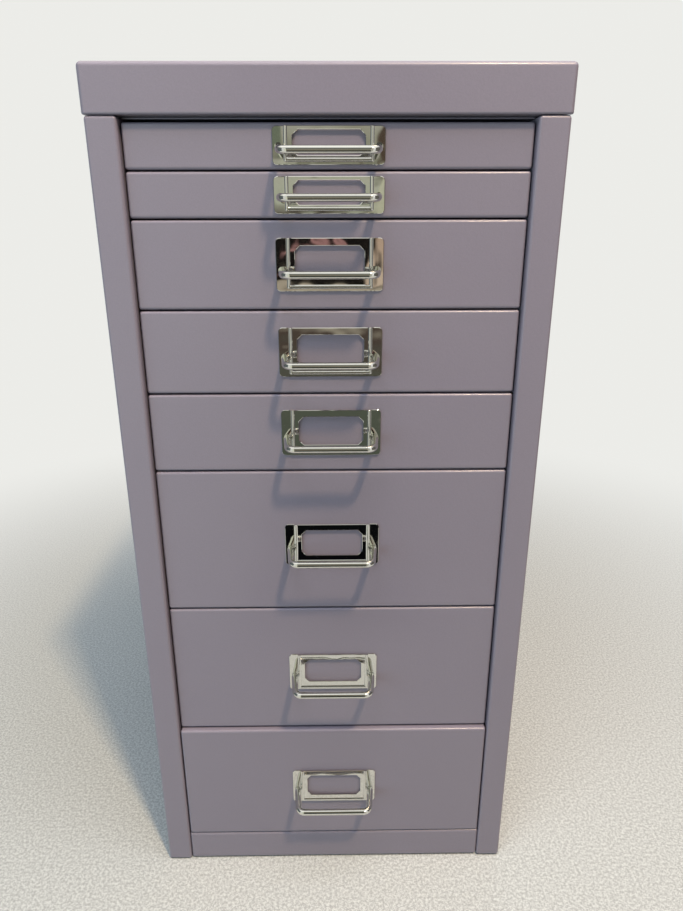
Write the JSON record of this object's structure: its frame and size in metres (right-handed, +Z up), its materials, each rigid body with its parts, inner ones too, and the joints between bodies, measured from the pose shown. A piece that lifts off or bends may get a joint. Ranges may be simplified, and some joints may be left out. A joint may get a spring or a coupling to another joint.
{
  "type": "multi-drawer cabinet",
  "caption": "Steel desk cabinet with a single column of sliding drawers, each with a chromed label plate and a wire pull, under an overhanging cap.",
  "frame": {"origin": "middle of the footprint at floor level, with the pulls and the slightly open bottom drawer counted in", "axes": "+X to the right as seen from the front, +Y to the back, +Z up; the drawers open towards -Y"},
  "size_m": [0.279, 0.4034, 0.59],
  "materials": {
    "paint": "fine satin powder coat, lilac grey",
    "chrome": "bright chrome plate",
    "zinc": "plain zinc-plated sheet",
    "glide": "moulded black plastic"
  },
  "bodies": {
    "carcase": {"top_cap": "paint", "side_panel_left": "paint", "side_panel_right": "paint", "head_rail": "paint", "back_panel": "paint", "base_pan": "paint", "rear_upright_left": "zinc", "rear_upright_right": "zinc", "glide_front_left": "glide", "glide_front_right": "glide", "glide_rear_left": "glide", "glide_rear_right": "glide", "drawer_1_runner_left": "zinc", "drawer_1_runner_right": "zinc", "drawer_2_runner_left": "zinc", "drawer_2_runner_right": "zinc", "drawer_3_runner_left": "zinc", "drawer_3_runner_right": "zinc", "drawer_4_runner_left": "zinc", "drawer_4_runner_right": "zinc", "drawer_5_runner_left": "zinc", "drawer_5_runner_right": "zinc", "drawer_6_runner_left": "zinc", "drawer_6_runner_right": "zinc", "drawer_7_runner_left": "zinc", "drawer_7_runner_right": "zinc", "drawer_8_runner_left": "zinc", "drawer_8_runner_right": "zinc"},
    "drawer_1": {"drawer_1_tray": "paint", "drawer_1_front": "paint", "drawer_1_label_plate": "chrome", "drawer_1_pull": "chrome"},
    "drawer_2": {"drawer_2_tray": "paint", "drawer_2_front": "paint", "drawer_2_label_plate": "chrome", "drawer_2_pull": "chrome"},
    "drawer_3": {"drawer_3_tray": "paint", "drawer_3_front": "paint", "drawer_3_label_plate": "chrome", "drawer_3_pull": "chrome"},
    "drawer_4": {"drawer_4_tray": "paint", "drawer_4_front": "paint", "drawer_4_label_plate": "chrome", "drawer_4_pull": "chrome"},
    "drawer_5": {"drawer_5_tray": "paint", "drawer_5_front": "paint", "drawer_5_label_plate": "chrome", "drawer_5_pull": "chrome"},
    "drawer_6": {"drawer_6_tray": "paint", "drawer_6_front": "paint", "drawer_6_label_plate": "chrome", "drawer_6_pull": "chrome"},
    "drawer_7": {"drawer_7_tray": "paint", "drawer_7_front": "paint", "drawer_7_label_plate": "chrome", "drawer_7_pull": "chrome"},
    "drawer_8": {"drawer_8_tray": "paint", "drawer_8_front": "paint", "drawer_8_label_plate": "chrome", "drawer_8_pull": "chrome"}
  },
  "joints": [
    {"name": "drawer_1_slide", "type": "slide", "parent": "carcase", "child": "drawer_1", "axis": [0, -1, 0], "range_m": [0, 0.265]},
    {"name": "drawer_2_slide", "type": "slide", "parent": "carcase", "child": "drawer_2", "axis": [0, -1, 0], "range_m": [0, 0.265]},
    {"name": "drawer_3_slide", "type": "slide", "parent": "carcase", "child": "drawer_3", "axis": [0, -1, 0], "range_m": [0, 0.265]},
    {"name": "drawer_4_slide", "type": "slide", "parent": "carcase", "child": "drawer_4", "axis": [0, -1, 0], "range_m": [0, 0.265]},
    {"name": "drawer_5_slide", "type": "slide", "parent": "carcase", "child": "drawer_5", "axis": [0, -1, 0], "range_m": [0, 0.265]},
    {"name": "drawer_6_slide", "type": "slide", "parent": "carcase", "child": "drawer_6", "axis": [0, -1, 0], "range_m": [0, 0.265]},
    {"name": "drawer_7_slide", "type": "slide", "parent": "carcase", "child": "drawer_7", "axis": [0, -1, 0], "range_m": [0, 0.265]},
    {"name": "drawer_8_slide", "type": "slide", "parent": "carcase", "child": "drawer_8", "axis": [0, -1, 0], "range_m": [-0.0035, 0.2615]}
  ]
}
